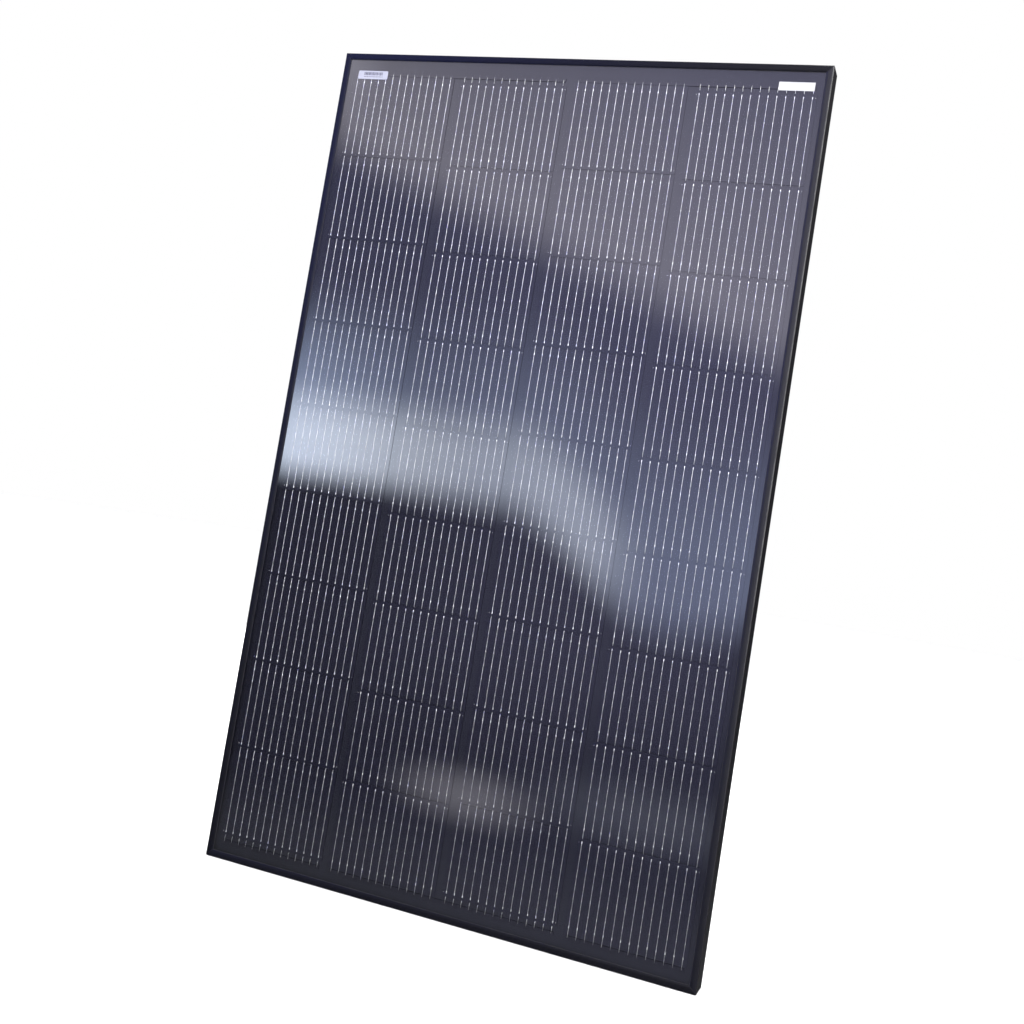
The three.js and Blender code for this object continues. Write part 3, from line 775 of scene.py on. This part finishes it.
def make_contacts(column, made):
    """Solder pads under the ribbons, and the two alignment dots of each cell."""
    parts = []
    places = cell_x(column)
    for row in ROWS:
        front = cell_box(row, column)[0].y
        for k, z in enumerate(pad_places(row, column)):
            width, height = END_PAD_SIZE if k in (0, PADS - 1) else PAD_SIZE
            for x in places:
                parts.append(slab(rectangle(x, z, width, height), front - PAD_THICKNESS, front))
        dot_z = pad_places(row, column)[0]
        for x in (places[0] - DOT_OFFSET, places[-1] + DOT_OFFSET):
            parts.append(slab(disc(x, dot_z, DOT_RADIUS), front - PAD_THICKNESS, front))
    points, faces = gather(parts)
    piece(f"contacts_string_{column}", points, faces, made)


def make_bus(name, first, last, z, made):
    """A bus strip across the ribbons of the columns first to last."""
    start = cell_x(first)[0] - BUS_OVERHANG
    end = cell_x(last)[-1] + BUS_OVERHANG
    front = cell_box(1, 1)[0].y - BUS_RISE
    outline = rounded((start + end) / 2, z, end - start, BUS_WIDTH, BUS_CORNER, 3)
    points, faces = slab(outline, front, front + BUS_THICKNESS)
    piece(name, points, faces, made)


def make_strings():
    ribbon, silver, coated = solder_ribbon(), silver_print(), black_coated_strip()
    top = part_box("frame_rail_top")[1].z - TOP_BUS
    for column in COLUMNS:
        make_ribbons(column, ribbon)
        make_contacts(column, silver)
    make_bus("bus_strip_top_left", 1, 2, top, coated)
    make_bus("bus_strip_top_right", 3, 4, top, coated)
    make_bus("bus_strip_bottom_left", 1, 1, BOTTOM_BUS, coated)
    make_bus("bus_strip_bottom_middle", 2, 3, BOTTOM_BUS, coated)
    make_bus("bus_strip_bottom_right", 4, 4, BOTTOM_BUS, coated)


def strap(x, path, width, thickness):
    """A flat strip in the plane x through (y, z) points."""
    path = np.asarray(path)
    along = np.gradient(path, axis=0)
    along /= np.linalg.norm(along, axis=1)[:, None]
    points = []
    for (y, z), (dy, dz) in zip(path, along):
        for across, out in ((-1, -1), (1, -1), (1, 1), (-1, 1)):
            step = out * thickness / 2
            points.append((x + across * width / 2, y - dz * step, z + dy * step))
    last = (len(path) - 1) * 4
    faces = [(3, 2, 1, 0), (last, last + 1, last + 2, last + 3)]
    for ring in range(len(path) - 1):
        for k in range(4):
            a, b = ring * 4 + k, ring * 4 + (k + 1) % 4
            faces.append((a, b, b + 4, a + 4))
    return points, faces


def make_leads():
    """The strings' three leads, and the strip that keeps them off the cells."""
    tin, shine = rgb(0.50, 0.50, 0.50), rgb(0.78, 0.77, 0.75)
    tinned = bare_metal("lead_tin", tin, shine, 260, 0.25, 0.45)
    path = np.asarray(LEAD_PATH) * MM
    for place in ("negative", "middle", "positive"):
        low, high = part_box("terminal_" + place)
        points, faces = strap((low.x + high.x) / 2, path, LEAD_WIDTH, LEAD_THICKNESS)
        piece("lead_" + place, points, faces, tinned)
    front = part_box("backsheet")[0].y - LEAD_FILM["thickness"]
    outline = rounded(0, LEAD_FILM["z"], *LEAD_FILM["size"], LEAD_FILM["radius"], 3)
    points, faces = slab(outline, front, front + LEAD_FILM["thickness"])
    piece("lead_insulation", points, faces, NODES["backsheet"].data.materials[0])


# ---------------------------------------------------------------- labels
def make_left_label():
    """The printed label behind the glass, with two rows of plain bars."""
    low, high = CAD_BOX
    glass_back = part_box("glass")[1].y
    width, height = LEFT_LABEL["size"]
    x = low.x + LEFT_LABEL["side"] + width / 2
    z = high.z - LEFT_LABEL["top"] - height / 2
    front = glass_back + LABEL_GAP
    film = label_film("inner_label_film", rgb(0.53, 0.53, 0.65), rgb(0.40, 0.40, 0.52))
    outline = rounded(x, z, width, height, LEFT_LABEL["radius"])
    points, faces = slab(outline, front, front + LABEL_THICKNESS)
    piece("label_left", points, faces, film)
    printed = []
    for rise, tall, shortest, longest in PRINT_ROWS:
        at = x + width * PRINT_SPAN[0]
        while at < x + width * PRINT_SPAN[1]:
            bar = random.uniform(shortest, longest) * MM
            outline = rectangle(at + bar / 2, z + rise * MM, bar, tall * MM)
            printed.append(slab(outline, front - INK_THICKNESS, front))
            at += bar + random.uniform(*PRINT_GAP) * MM
    points, faces = gather(printed)
    piece("label_left_bars", points, faces, label_ink())


def make_right_label():
    """The plain label on the front of the glass."""
    high = CAD_BOX[1]
    glass_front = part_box("glass")[0].y
    width, height = RIGHT_LABEL["size"]
    x = high.x - RIGHT_LABEL["side"] - width / 2
    z = high.z - RIGHT_LABEL["top"] - height / 2
    paper = label_film("outer_label_film", rgb(0.67, 0.67, 0.69), rgb(0.58, 0.58, 0.62))
    outline = rounded(x, z, width, height, RIGHT_LABEL["radius"], 2)
    points, faces = slab(outline, glass_front - LABEL_THICKNESS, glass_front)
    label = piece("label_right", points, faces, paper)
    label.visible_glossy = False  # the cells' coat would mirror its dark underside


# ---------------------------------------------------------------- studio
def panel_scale(tree, x, y, z):
    """Where on the front face the camera sees a direction mirrored: 0 to 1 across and down."""
    low, high = CAD_BOX
    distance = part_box("glass")[0].y - CAMERA_AT.y
    shallowest = 0.02
    depth = tree.math("MAXIMUM", tree.math("MULTIPLY", y, -1.0), shallowest)
    sideways = tree.math("MULTIPLY", tree.math("DIVIDE", x, depth), distance)
    upwards = tree.math("MULTIPLY", tree.math("DIVIDE", z, depth), distance)
    across = tree.math("DIVIDE", tree.math("SUBTRACT", sideways, low.x - CAMERA_AT.x), high.x - low.x)
    down = tree.math("DIVIDE", tree.math("SUBTRACT", high.z - CAMERA_AT.z, upwards), high.z - low.z)
    return across, down


def tinted(tree, strength, colour):
    value = tree.add("CombineXYZ", {0: strength, 1: strength, 2: strength}).outputs[0]
    return tree.add("VectorMath", {0: value, 1: colour}, operation="MULTIPLY").outputs[0]


def added(tree, colours):
    total = colours[0]
    for colour in colours[1:]:
        total = tree.add("VectorMath", {0: total, 1: colour}, operation="ADD").outputs[0]
    return total


def lamp(tree, across, down, centre, size, level):
    """A soft oval glow."""
    a = tree.math("DIVIDE", tree.math("SUBTRACT", across, centre[0]), size[0])
    b = tree.math("DIVIDE", tree.math("SUBTRACT", down, centre[1]), size[1])
    squares = tree.math("ADD", tree.math("MULTIPLY", a, a), tree.math("MULTIPLY", b, b))
    return tree.math("MULTIPLY", tree.smooth(tree.math("SQRT", squares), 1.0, 0.0), level)


def room_ceiling(tree, across, down):
    """A warm grey ceiling, brightest along its lower edge, which falls to the right."""
    edge = tree.math("ADD", tree.math("MULTIPLY", across, CEILING_SLOPE), CEILING_EDGE)
    above = tree.math("SUBTRACT", edge, down)
    near, far = CEILING_LEVELS
    fade = {"Value": above, "From Max": CEILING_DEPTH, "To Min": near, "To Max": far}
    level = tree.add("MapRange", fade).outputs[0]
    level = tree.math("MULTIPLY", level, tree.ramp(across, 0.45, 0.0, 1.0, 1.15))
    return tree.math("MULTIPLY", tree.smooth(above, -0.04, 0.045), level)


def room_window(tree, across, down):
    """A bright window whose sill sweeps down to the right: its core, its halo, and what is above it."""
    sweep = tree.math("MULTIPLY", tree.smooth(across, 0.50, 0.84), SILL_SWEEP)
    rise = tree.math("MULTIPLY", tree.smooth(across, 0.86, 1.0), SILL_RISE)
    sill = tree.math("ADD", tree.math("SUBTRACT", sweep, rise), SILL_HEIGHT)
    above = tree.math("SUBTRACT", sill, down)
    blur = tree.ramp(across, 0.1, 0.9, 0.024, 0.036)
    over_sill = tree.smooth(tree.math("DIVIDE", above, blur), -1.0, 1.0)
    core = tree.ramp(across, 0.46, 0.10, 1.6, 3.25)
    core = tree.math("MULTIPLY", core, tree.smooth(across, 0.83, 0.66))
    core = tree.math("MULTIPLY", core, tree.smooth(above, 0.125, 0.045))
    halo = tree.ramp(across, 0.34, -0.05, 0.58, 1.9)
    halo = tree.math("MULTIPLY", halo, tree.smooth(above, 0.26, 0.06))
    return tree.math("MULTIPLY", core, over_sill), tree.math("MULTIPLY", halo, over_sill), over_sill


def room_in_front(tree, across, down):
    """The ceiling, the window, the dark below it, the edge of the floor, and the lamps."""
    core, halo, over_sill = room_window(tree, across, down)
    below = tree.ramp(across, 0.0, 0.8, 0.03, 0.235)
    below = tree.math("MULTIPLY", below, tree.ramp(down, 0.84, 0.66, 0.36, 1.0))
    floor_edge = tree.math("MULTIPLY", tree.smooth(down, 0.87, 0.97), FLOOR_EDGE_LEVEL)
    lights = [
        tinted(tree, room_ceiling(tree, across, down), CEILING_TINT),
        tinted(tree, core, CORE_TINT),
        tinted(tree, halo, HALO_TINT),
        tinted(tree, tree.math("MULTIPLY", over_sill, SKY_LEVEL), SKY_TINT),
        tinted(tree, below, BELOW_TINT),
        tinted(tree, floor_edge, (1.0, 1.0, 1.0)),
    ]
    for centre, size, level, tint in ROOM_LAMPS:
        lights.append(tinted(tree, lamp(tree, across, down, centre, size, level), tint))
    return added(tree, lights)


def reflected_room(tree):
    """What shiny parts mirror: the room in front of the panel, and dim walls at its sides and back."""
    x, y, z = tree.xyz(tree.add("TexCoord").outputs["Generated"])
    across, down = panel_scale(tree, x, y, z)
    facing = tree.smooth(y, -0.45, -0.70)
    beside = tree.math("MULTIPLY", tree.smooth(y, 0.05, -0.25), tree.scale(facing, 1.0, 0.0))
    upper = tree.smooth(z, -0.20, 0.12)
    right = tree.math("MULTIPLY", tree.smooth(x, 0.2, 0.5), upper)
    walls = tree.math("ADD", tree.scale(upper, 0.12, 1.8), tree.math("MULTIPLY", right, 6.0))
    low_wall = tree.ramp(z, -0.16, -0.34, 0.02, 0.16)
    high_wall = tree.ramp(z, 0.2, 0.45, 0.0, 0.10)
    rear_walls = tree.math("ADD", low_wall, high_wall)
    behind = tree.math("MULTIPLY", rear_walls, tree.smooth(y, -0.25, 0.05))
    return added(tree, [
        tinted(tree, facing, room_in_front(tree, across, down)),
        tinted(tree, tree.math("MULTIPLY", beside, walls), (0.97, 0.98, 1.0)),
        tinted(tree, behind, (1.0, 0.98, 1.0)),
    ])


def make_world():
    """White to the eye, an even fill for matte surfaces, and a dim room with soft windows for gloss."""
    world = bpy.data.worlds.new("studio")
    world.use_nodes = True
    bpy.context.scene.world = world
    tree = Tree(world.node_tree)
    path = tree.add("LightPath").outputs
    to_gloss = tree.add("Background", {"Color": reflected_room(tree)}).outputs[0]
    to_matte = tree.add("Background", {"Color": rgb(0.98, 0.98, 1.0), "Strength": 1.1}).outputs[0]
    to_eye = tree.add("Background", {"Color": rgb(1.0, 1.0, 1.0)}).outputs[0]
    lit = tree.add("MixShader", {0: path["Is Glossy Ray"], 1: to_matte, 2: to_gloss}).outputs[0]
    seen = tree.add("MixShader", {0: path["Is Camera Ray"], 1: lit, 2: to_eye}).outputs[0]
    tree.add("OutputWorld", {"Surface": seen})


def make_floor():
    """A pale seamless floor, left out of reflections so that the panel mirrors the room alone."""
    made, tree = material("pale_floor")
    speckle = tree.noise(tree.place(), 40, detail=4)
    colour = tree.blend(speckle, rgb(0.93, 0.93, 0.93), rgb(0.96, 0.96, 0.96))
    surface(tree, tree.add("BsdfPrincipled", {"Base Color": colour, "Roughness": 0.9, "IOR": 1.3}))
    ring = [(x, y, 0) for x, y in disc(0, 0, FLOOR_RADIUS, FLOOR_STEPS)]
    mesh = bpy.data.meshes.new("floor")
    mesh.from_pydata(ring, [], [tuple(range(FLOOR_STEPS))])
    mesh.materials.append(made)
    floor = bpy.data.objects.new("floor", mesh)
    floor.location.z = -FLOOR_DROP
    floor.visible_glossy = False
    bpy.context.scene.collection.objects.link(floor)


def make_lights():
    for name, (at, size, power, colour) in SOFTBOXES.items():
        data = bpy.data.lights.new(name, "AREA")
        data.shape = "RECTANGLE"
        data.size, data.size_y = size
        data.energy = power
        data.color = colour
        ob = bpy.data.objects.new(name, data)
        ob.location = at
        ob.rotation_euler = (Vector(SOFTBOX_TARGET) - Vector(at)).to_track_quat("-Z", "Y").to_euler()
        bpy.context.scene.collection.objects.link(ob)


def make_camera():
    azimuth, pitch, roll = (math.radians(a) for a in (CAMERA_AZIMUTH, CAMERA_PITCH, CAMERA_ROLL))
    ahead = math.cos(pitch)
    forward = Vector((-math.sin(azimuth) * ahead, math.cos(azimuth) * ahead, math.sin(pitch)))
    level = forward.cross(Vector((0, 0, 1))).normalized()
    upright = level.cross(forward)
    up = upright * math.cos(roll) - level * math.sin(roll)
    right = forward.cross(up)
    data = bpy.data.cameras.new("camera")
    data.lens = CAMERA_LENS
    data.shift_y = CAMERA_SHIFT
    ob = bpy.data.objects.new("camera", data)
    turned = Matrix((right, up, -forward)).transposed().to_4x4()
    ob.matrix_world = Matrix.Translation(CAMERA_AT) @ turned
    bpy.context.scene.collection.objects.link(ob)
    bpy.context.scene.camera = ob


finish_cad_parts()
make_strings()
make_leads()
make_left_label()
make_right_label()
make_world()
make_floor()
make_lights()
make_camera()
bpy.context.scene.view_settings.view_transform = "Standard"

bpy.context.view_layer.update()
